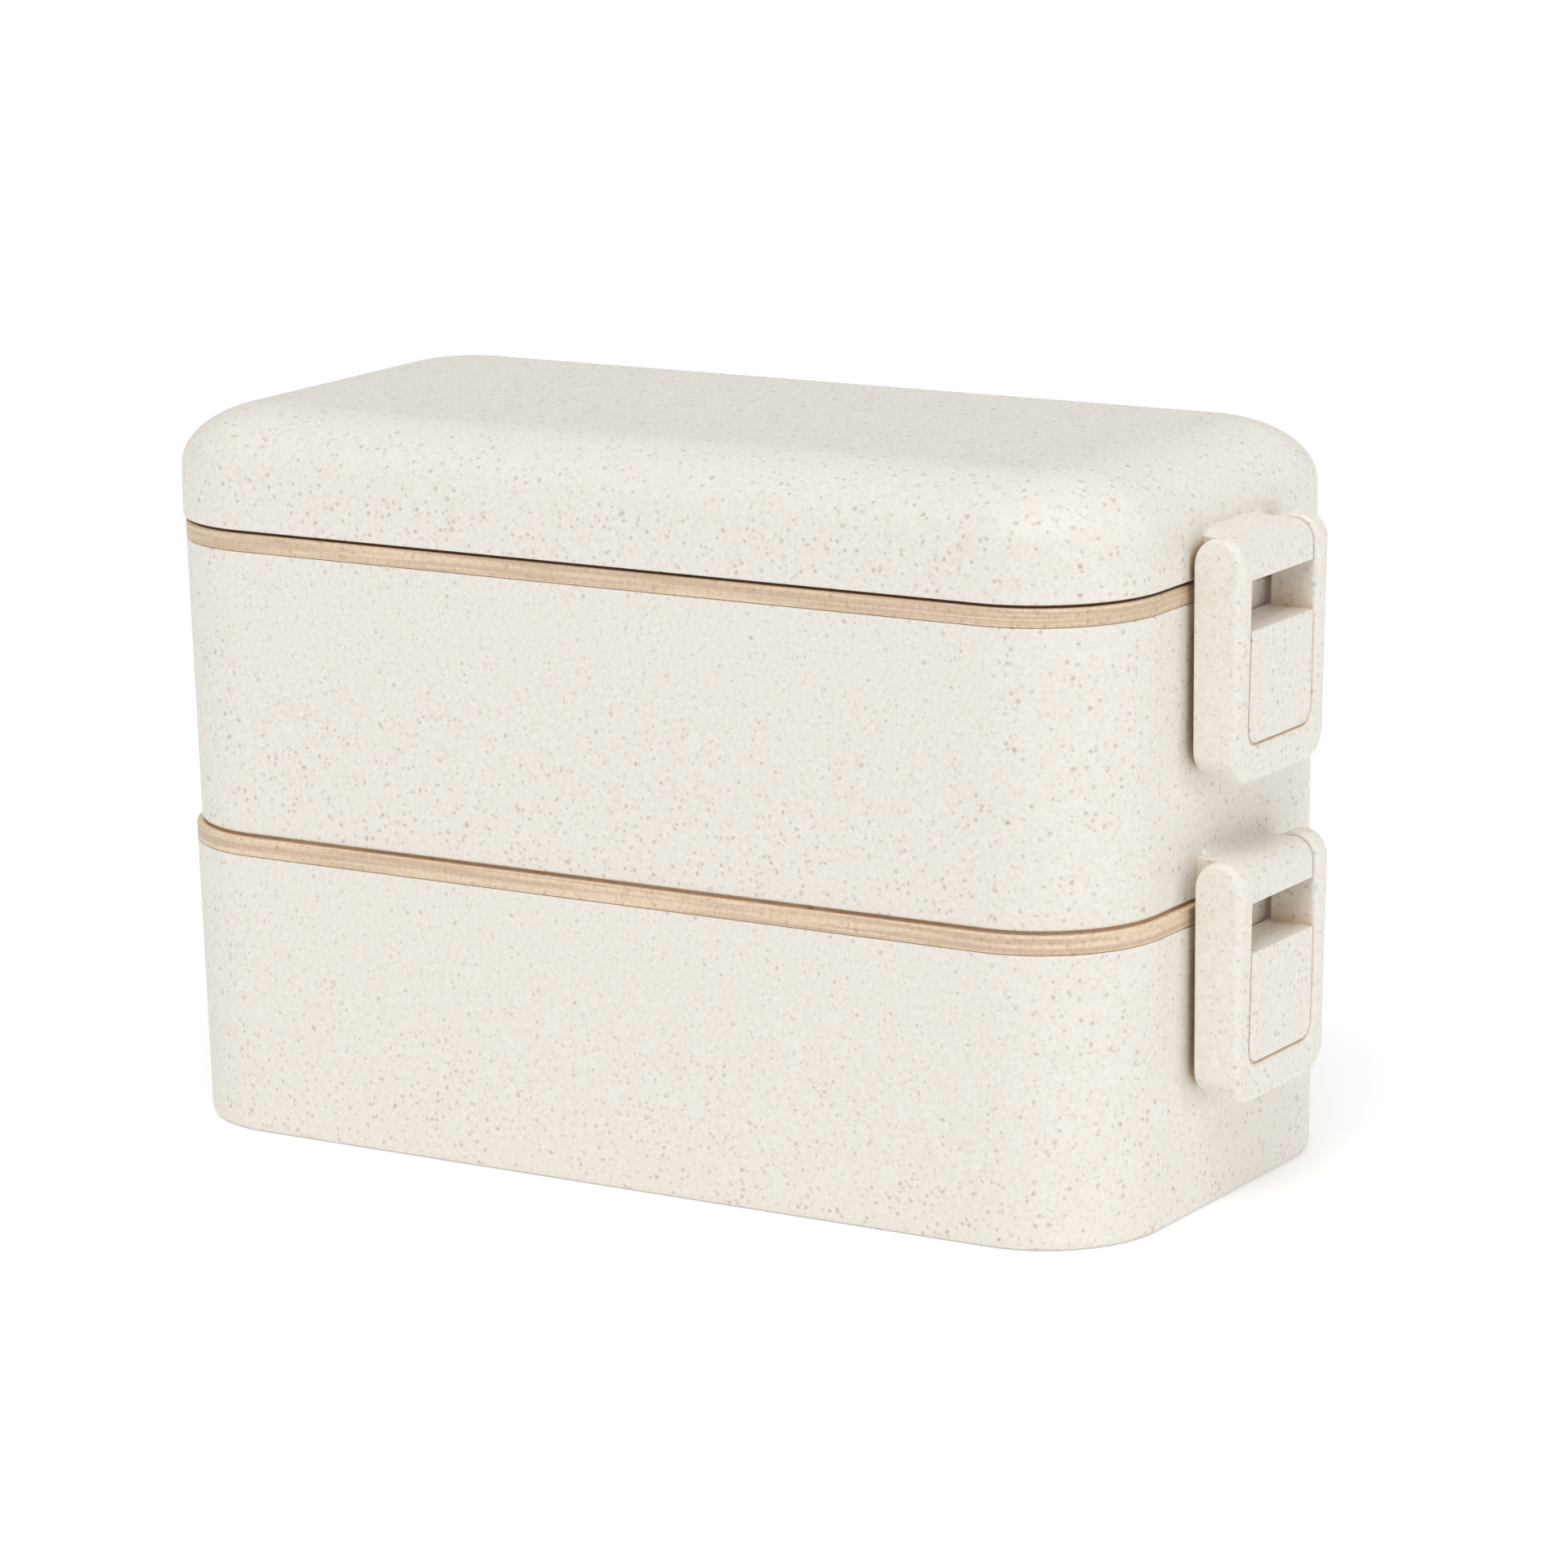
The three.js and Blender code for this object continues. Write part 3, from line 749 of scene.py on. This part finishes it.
def upper_tier():
    """The upper tray: a lip to sit in the rim of the inner lid below, catch ribs and hinge lugs."""
    foot = [
        (CAP_INSET, UNDERFLOOR, 0),
        (LIP_IN, UNDERFLOOR, 0.6),
        (LIP_IN, -LIP_DROP, 0.4),
        (LIP_OUT, -LIP_DROP, 0.4),
        (LIP_OUT, 0.0, 0.1),
        (DRAFT, 0.0, 0.45),
    ]
    piece = loft("tier_upper", foot + tier_wall(UNDERFLOOR + FLOOR), UPPER_BASE)
    add_ribs(piece, UPPER_RIM)
    add_lugs(piece, LOWER_RIM, TIER_WALL_OUT)
    settle(piece, "upper_tier", "upper_tier", BODY)


def lid():
    """The domed outer lid, with its lip and hinge lugs."""
    inside = WALL - OVERHANG
    inner = quarter((inside + DOME_RUN, LID_TOP - WALL), (inside, LID_WALL), DOME_STEPS, False)
    rim = [
        (inside, LID_WALL - LID_SHOULDER, 1.0),
        (LIP_IN, LID_LIP_TOP, 1.0),
        (LIP_IN, -LIP_DROP, 0.4),
        (LIP_OUT, -LIP_DROP, 0.4),
        (LIP_OUT, 0.0, 0.1),
        (-OVERHANG, 0.0, 0.4),
    ]
    outer = quarter((-OVERHANG, LID_WALL), (DOME_RUN - OVERHANG, LID_TOP), DOME_STEPS, True)
    piece = loft("lid_outer", inner + rim + outer, LID_BASE)
    add_lugs(piece, UPPER_RIM, LID_WALL_OUT)
    settle(piece, "lid", "lid", BODY)


def inner_lid(level, rim):
    """A plate with a tan rim band, a grooved skirt below and a shallow panel line on top."""
    profile = [
        (LID_CAP_INSET, 0.0, 0),
        (SKIRT_IN, 0.0, 0.8),
        (SKIRT_IN, -SKIRT_DEPTH, 0.5),
        (SKIRT_OUT, -SKIRT_DEPTH, 0.5),
        (SKIRT_OUT, GROOVE_BOTTOM, 0.15),
        (GROOVE_IN, GROOVE_BOTTOM, 0.15),
        (GROOVE_IN, GROOVE_TOP, 0.15),
        (SKIRT_OUT, GROOVE_TOP, 0.15),
        (SKIRT_OUT, 0.0, 0.1),
        (0.0, 0.0, 0.2),
        (0.0, BAND - SHADOW_GAP, 0.4),
        (SHADOW_STEP, BAND - SHADOW_GAP, 0.1),
        (SHADOW_STEP, BAND, 0.15),
        (RAISED, BAND, 0.25),
        (RAISED, PLATE, 0.4),
        (PANEL_LINE, PLATE, 0.4),
        (PANEL_LINE + PANEL_LINE_DEPTH, PLATE - PANEL_LINE_DEPTH, 0.4),
        (PANEL_LINE + PANEL_LINE_WIDTH - PANEL_LINE_DEPTH, PLATE - PANEL_LINE_DEPTH, 0.4),
        (PANEL_LINE + PANEL_LINE_WIDTH, PLATE, 0.4),
        (LID_CAP_INSET, PLATE, 0),
    ]
    piece = loft(f"inner_lid_{level}", profile, rim)
    hole = lathe("hole", [(VENT_HOLE, -TOOL_REACH), (VENT_HOLE, PLATE + TOOL_REACH)], VENT_X, 0, rim)
    combine(piece, hole, "DIFFERENCE")
    settle(piece, f"{level}_inner_lid", f"{level}_inner_lid", TAN)


def seal(level, rim):
    """A ring with two soft lips, in the groove of the skirt."""
    back = GROOVE_IN - SEAL_GAP
    low = GROOVE_BOTTOM + SEAL_GAP
    high = GROOVE_TOP - SEAL_GAP
    middle = (low + high) / 2
    section = rounded_loop(
        [
            (back, low, 0.15),
            (back, high, 0.15),
            (SKIRT_OUT - SEAL_GAP, high - 0.1, 0.25),
            (SKIRT_OUT - SEAL_GAP, middle + 0.35, 0.25),
            (SKIRT_OUT + 0.3, middle, 0.2),
            (SKIRT_OUT - SEAL_GAP, middle - 0.35, 0.25),
            (SKIRT_OUT - SEAL_GAP, low + 0.1, 0.25),
        ],
        steps=4,
    )
    piece = skin(f"seal_{level}", [plan_ring(p.x, rim + p.y) for p in section], capped=False)
    settle(piece, f"{level}_inner_lid", f"{level}_inner_lid_seal", SILICONE)


def vent_plug(level, seat):
    """A silicone plug: tapered stem through the lid, flat head and a button to pinch."""
    profile = rounded_line(
        [
            (PLUG_AXIS, PLUG_TIP, 0),
            (PLUG_STEM - PLUG_TAPER, PLUG_TIP, 0.4),
            (PLUG_STEM, PLUG_TIP / 2, 0.5),
            (PLUG_STEM, 0.0, 0.15),
            (PLUG_HEAD, 0.0, 0.2),
            (PLUG_HEAD, PLUG_RIM_TOP, 0.45),
            (BUTTON_FOOT, PLUG_DISH, 0.4),
            (BUTTON, BUTTON_TOP, 0.5),
            (DIMPLE, BUTTON_TOP, 0.5),
            (PLUG_AXIS, DIMPLE_FLOOR, 0),
        ]
    )
    piece = lathe(f"vent_{level}", [(p.x, p.y) for p in profile], VENT_X, 0, seat)
    settle(piece, f"{level}_vent_plug", f"{level}_vent_plug", SILICONE)


def divider():
    """The cross wall of the lower tier, with a wide edging round its two sides and foot."""
    middle = (divider_low.x + divider_high.x) / 2
    flange = (divider_high.x - divider_low.x) / 2
    foot = divider_low.z
    top = divider_high.z

    def outline(inset, height, head_round):
        low = foot + inset
        head, heel = (RIM_Y - WALL - DRAFT * (1 - z / TIER) - DIVIDER_GAP - inset for z in (height, low))
        corner = DIVIDER_CORNER - inset
        return rounded_loop(
            [
                (-heel, low, corner),
                (heel, low, corner),
                (head, height, head_round),
                (-head, height, head_round),
            ]
        )

    def slab(name, half, shape, edge=DIVIDER_EDGE):
        return extrude(name, shape, "x", middle - half, middle + half, edge)

    piece = slab("divider", flange, outline(0, top, DIVIDER_HEAD_ROUND))
    combine(piece, slab("bay", 2 * flange, outline(DIVIDER_EDGING, 2 * top, 0), 0.0), "DIFFERENCE")
    combine(piece, slab("web", WEB_HALF, outline(WEB_INSET, top - WEB_DROP, DIVIDER_HEAD_ROUND)))
    settle(piece, "lower_tier_divider", "lower_tier_divider", TAN)


# --- Clasps ----------------------------------------------------------------------------------


def frame_section():
    """Half sections of a clasp's frame at the pivot: front, then back, from outside to window.

    Each point is (share of the width, extra millimetres across, distance from the pivot's line).
    """
    def half(outer_round, inner_round):
        angles = [math.pi / 2 * step / ARC_STEPS for step in range(ARC_STEPS + 1)]
        points = [(0, 0.0, 0.0)]
        for a in angles:
            across = outer_round * (1 - math.cos(a))
            points.append((0, across, ARM_RADIUS - outer_round * (1 - math.sin(a))))
        for a in angles:
            across = -inner_round * (1 - math.sin(a))
            points.append((1, across, ARM_RADIUS - inner_round * (1 - math.cos(a))))
        points.append((1, 0.0, 0.0))
        return points

    return half(ARM_FRONT_ROUND, ARM_WINDOW_ROUND), half(ARM_BACK_ROUND, ARM_BACK_ROUND)


def frame_path():
    """Pairs of outer and window-side points down one arm, along the foot and up the other arm."""
    bend = PANEL_BOTTOM + PANEL_CORNER
    inner_y = WINDOW_HALF - PANEL_CORNER
    outer = [(-CLASP_HALF, bend, 0), (-CLASP_HALF, CLASP_BOTTOM, CLASP_CORNER), (-inner_y, CLASP_BOTTOM, 0)]
    inner = [(-WINDOW_HALF, bend, 0), (-WINDOW_HALF, PANEL_BOTTOM, PANEL_CORNER), (-inner_y, PANEL_BOTTOM, 0)]
    turn = zip(*(resampled(rounded_line(line, TURN_STEPS), TURN_ROWS) for line in (outer, inner)))
    arm = [(Vector((-CLASP_HALF, z)), Vector((-WINDOW_HALF, z))) for z in (PIVOT_UP, SHELF_TOP, ARM_ROW)]
    down = arm + list(turn)
    up = [(Vector((-o.x, o.y)), Vector((-i.x, i.y))) for o, i in reversed(down)]
    return down + up


def sloped(out, up):
    """Height of a point near the foot: the foot rises towards the wall."""
    start = PANEL_BOTTOM + PANEL_CORNER
    if up >= start:
        return up
    depth = (PIVOT_OUT + ARM_RADIUS - out) / (2 * ARM_RADIUS)
    return start + (up - start) * (1 - depth * CLASP_SLOPE / (start - CLASP_BOTTOM))


def clasp_frame():
    """The U-shaped frame of a clasp, its two arms ending in half discs about the pivot."""
    front, back = frame_section()
    path = frame_path()
    rings = []
    for outer, inner in path:
        across = (inner - outer).normalized()
        width = (inner - outer).length
        ring = []
        for half, sign in ((front, 1), (list(reversed(back))[1:-1], -1)):
            for share, extra, reach in half:
                spot = outer + across * (share * width + extra)
                out = PIVOT_OUT + sign * reach
                ring.append((out, spot.x, sloped(out, spot.y)))
        rings.append(ring)
    points = [p for ring in rings for p in ring]
    faces = ring_faces(len(rings), len(rings[0]))
    for outer, inner in (path[0], path[-1]):
        start = len(points)
        width = (inner - outer).length
        across = (inner - outer).normalized()
        for step in range(HEAD_STEPS + 1):
            share = step / HEAD_STEPS
            angle = math.pi * share
            for a, b in zip(front, back):
                reach = a[2] + (b[2] - a[2]) * share
                spot = outer + across * (a[0] * width + a[1] + (b[1] - a[1]) * share)
                out = PIVOT_OUT + reach * math.cos(angle)
                points.append((out, spot.x, PIVOT_UP + reach * math.sin(angle)))
        row = len(front)
        for step in range(HEAD_STEPS):
            for k in range(row - 1):
                here = start + step * row + k
                faces.append((here, here + 1, here + row + 1, here + row))
    return mesh_object("clasp", points, faces)


def apron(half, bottom, top, corner, head=0.0):
    """A front outline with round bottom corners."""
    return rounded_loop(
        [(-half, bottom, corner), (half, bottom, corner), (half, top, head), (-half, top, head)], steps=8
    )


def lean(clasp):
    """Leans a clasp towards the wall below its pivot, its front more than its back."""
    back = PIVOT_OUT - ARM_RADIUS
    for vertex in clasp.data.vertices:
        drop = max(0.0, PIVOT_UP - vertex.co.z / MM)
        share = (vertex.co.x / MM - back) / (2 * ARM_RADIUS)
        vertex.co.x -= drop * (CLASP_LEAN_BACK + (CLASP_LEAN_FRONT - CLASP_LEAN_BACK) * share) * MM


def clasp_mesh():
    """One clasp, drawn as (out, across, up): frame, panel behind a fine seam, shelf, hook, stubs."""
    clasp = clasp_frame()
    panel = apron(
        WINDOW_HALF - SEAM, PANEL_BOTTOM + SEAM, SHELF_TOP, PANEL_CORNER - SEAM, PANEL_HEAD_ROUND
    )
    backing = apron(
        WINDOW_HALF + BACKING_LAP, PANEL_BOTTOM - BACKING_LAP, SHELF_TOP - BACKING_DROP, PANEL_CORNER
    )
    combine(clasp, extrude("backing", backing, "x", PANEL_BACK, PANEL_FRONT - SEAM_DEPTH))
    combine(clasp, extrude("panel", panel, "x", PANEL_BACK + PANEL_SINK, PANEL_FRONT, edge=PANEL_EDGE))
    lean(clasp)
    shelf_front = PANEL_FRONT - SEAM_DEPTH - SHELF_INSET
    shelf_head = SHELF_TOP - SHELF_DROP
    shelf_foot = SHELF_TOP - SHELF
    shelf = rounded_loop(
        [
            (SHELF_BACK, shelf_foot, SHELF_ROUND),
            (shelf_front, shelf_foot, 0),
            (shelf_front, shelf_head, 0),
            (SHELF_BACK, shelf_head, SHELF_ROUND),
        ]
    )
    half = WINDOW_HALF + SHELF_LAP
    combine(clasp, extrude("shelf", shelf, "y", -half, half))
    edge = RIB_OUT + HOOK_GAP
    root = PANEL_BACK + HOOK_SINK
    hook = rounded_loop(
        [
            (edge, HOOK_FOOT, HOOK_ROUND),
            (root, HOOK_ROOT_FOOT, 0),
            (root, HOOK_HEAD, 0),
            (edge, HOOK_HEAD, HOOK_ROUND),
        ]
    )
    combine(clasp, extrude("hook", hook, "y", -CATCH_HALF, CATCH_HALF, edge=HOOK_ROUND))
    pin = circle(STUB_RADIUS, PIVOT_OUT, PIVOT_UP)
    for near, far in both_sides(WINDOW_HALF - STUB_LENGTH, WINDOW_HALF + TOOL_REACH):
        combine(clasp, extrude("stub", pin, "y", near, far, edge=STUB_EDGE))
    return clasp


def clasps():
    """Four copies of one clasp, at both ends of both levels."""
    pattern = clasp_mesh()
    for level, rim in (("upper", UPPER_RIM), ("lower", LOWER_RIM)):
        for side in ("right", "left"):
            piece = add_object(f"clasp_{level}_{side}", pattern.data.copy())
            at_end(piece, side, rim)
            node = f"{level}_{side}_clasp"
            settle(piece, node, node, CLASP)
    bpy.data.objects.remove(pattern)


# --- Stage -----------------------------------------------------------------------------------


def direction(azimuth, elevation):
    """The way out from the box in degrees; azimuth 0 is in front, 90 at its right end."""
    turn = math.radians(azimuth)
    rise = math.radians(elevation)
    level = math.cos(rise)
    return Vector((math.sin(turn) * level, -math.cos(turn) * level, math.sin(rise)))


# Where the camera stands, in degrees and metres, what it aims at, and its lens, in millimetres.
CAMERA_AZIMUTH = 31.9
CAMERA_ELEVATION = 12.55
CAMERA_ROLL = -0.99
CAMERA_DISTANCE = 1.029
CAMERA_TARGET = (7.3, 0, 58.8)
LENS = 144.3
SENSOR = 36

FLOOR_HALF = 6000
FLOOR_GLOW = 0.21
# Brightness of the sky at heights from 0 at the horizon to 1 overhead.
SKY_LEVELS = [(0.0, 1.0), (0.05, 1.0), (0.12, 0.05), (0.9, 0.9)]


def camera():
    """A long lens, low and to the right of the front."""
    roll = math.radians(CAMERA_ROLL)
    target = Vector(CAMERA_TARGET) * MM
    back = direction(CAMERA_AZIMUTH, CAMERA_ELEVATION)
    right = direction(CAMERA_AZIMUTH + 90, 0)
    up = back.cross(right)
    tilted_right = right * math.cos(roll) + up * math.sin(roll)
    tilted_up = up * math.cos(roll) - right * math.sin(roll)
    data = bpy.data.cameras.new("camera")
    data.sensor_width = SENSOR
    data.lens = LENS
    data.clip_start = 0.01
    piece = add_object("camera", data)
    pose = Matrix((tilted_right, tilted_up, back)).transposed().to_4x4()
    pose.translation = target + back * CAMERA_DISTANCE
    piece.matrix_world = pose
    bpy.context.scene.camera = piece


def far_light(name, azimuth, elevation, strength, spread):
    """A broad, far lamp that lights the box and the whole floor evenly; spread is in degrees."""
    data = bpy.data.lights.new(name, "SUN")
    data.energy = strength
    data.angle = math.radians(spread)
    light = add_object(name, data)
    light.rotation_euler = direction(azimuth, elevation).to_track_quat("Z", "Y").to_euler()


def floor():
    """A wide white floor that glows a little, so that it stays white in the soft light."""
    material, tree, shader = new_material("floor")
    shader.inputs["Base Color"].default_value = (0.9, 0.9, 0.9, 1)
    shader.inputs["Roughness"].default_value = 0.9
    shader.inputs["Specular IOR Level"].default_value = 0.0
    shader.inputs["Emission Color"].default_value = (1, 1, 1, 1)
    shader.inputs["Emission Strength"].default_value = FLOOR_GLOW
    corners = [(FLOOR_HALF * x, FLOOR_HALF * y, 0) for x, y in ((-1, -1), (1, -1), (1, 1), (-1, 1))]
    sheet = mesh_object("floor", corners, [(0, 1, 2, 3)])
    sheet.data.materials.append(material)


def sky():
    """White light: bright at the horizon, nearly dark just above it, brighter again overhead."""
    world = bpy.data.worlds.new("sky")
    world.use_nodes = True
    tree = world.node_tree
    gaze = add_node(tree, "ShaderNodeTexCoord").outputs["Generated"]
    height = add_node(tree, "ShaderNodeSeparateXYZ", Vector=gaze).outputs["Z"]
    light = ramp(tree, height, [(place, (level, level, level, 1.0)) for place, level in SKY_LEVELS])
    tree.links.new(light, tree.nodes["Background"].inputs["Color"])
    bpy.context.scene.world = world


def surroundings():
    """A white studio with one soft lamp high in front and one low at the right."""
    floor()
    sky()
    far_light("key light", azimuth=22, elevation=54, strength=1.22, spread=40)
    far_light("right light", azimuth=104, elevation=15, strength=0.38, spread=14)
    bpy.context.scene.view_settings.view_transform = "Standard"


lower_tier()
divider()
upper_tier()
lid()
for level, rim in (("lower", LOWER_RIM), ("upper", UPPER_RIM)):
    inner_lid(level, rim)
    seal(level, rim)
    vent_plug(level, rim + PLATE + PLUG_SEAT)
clasps()
camera()
surroundings()
